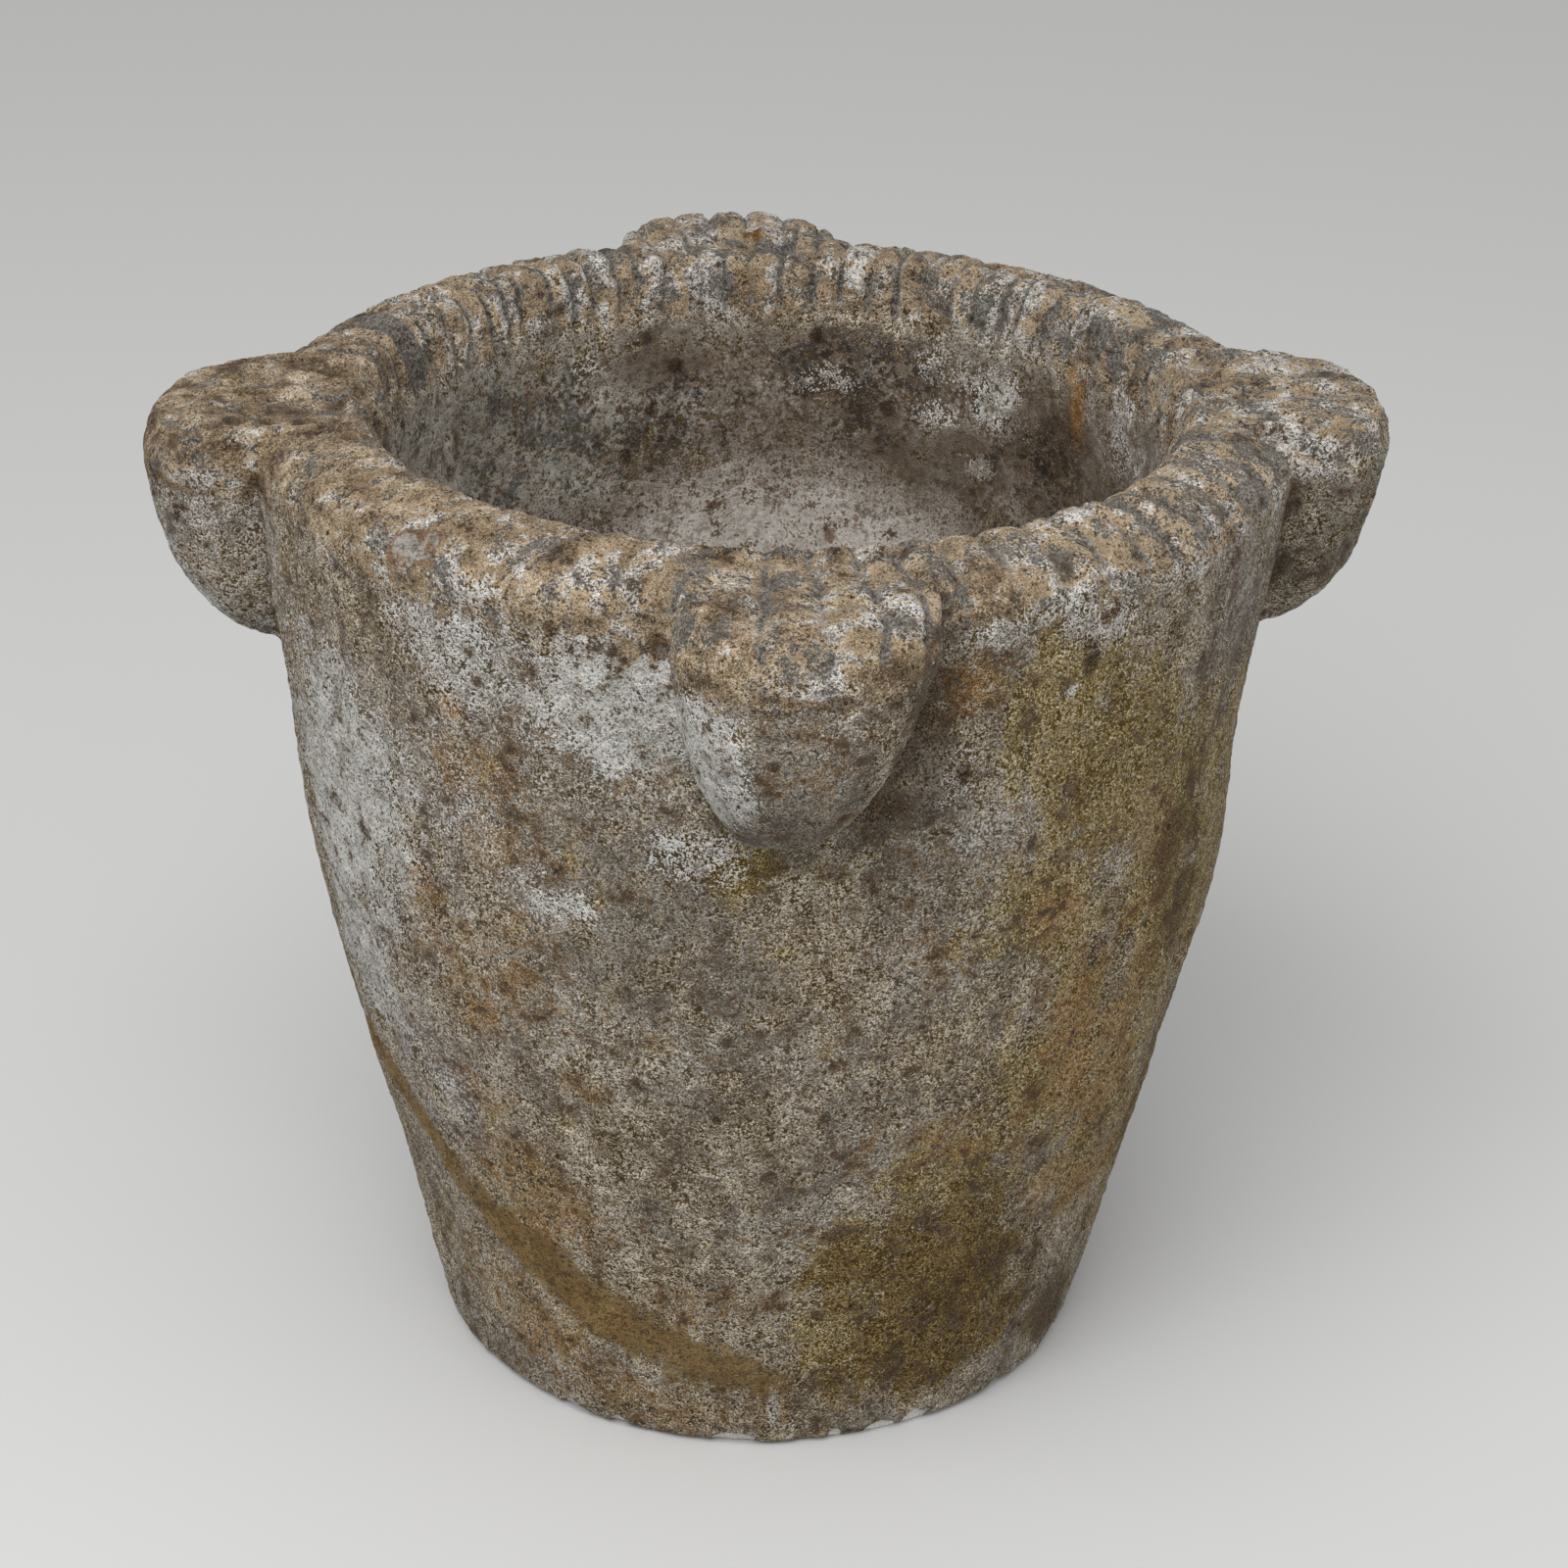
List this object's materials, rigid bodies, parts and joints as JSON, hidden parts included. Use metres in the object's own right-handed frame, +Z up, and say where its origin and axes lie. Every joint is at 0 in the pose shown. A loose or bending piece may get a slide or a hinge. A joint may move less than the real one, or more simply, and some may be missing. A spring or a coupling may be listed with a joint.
{
  "type": "round stone planter",
  "caption": "Round tapered stone planter, an old mortar cut from one block, with a deep bowl, a grooved rolled rim and lugs.",
  "frame": {"origin": "centre of the flat base, on the surface it stands on", "axes": "+Z up along the axis of the bowl; the four lugs point along +X, -X, +Y and -Y"},
  "size_m": [0.602, 0.602, 0.5],
  "materials": {
    "stone": "weathered limestone, matt, with lichen"
  },
  "bodies": {
    "root": {"stone_block": "stone"}
  },
  "joints": []
}
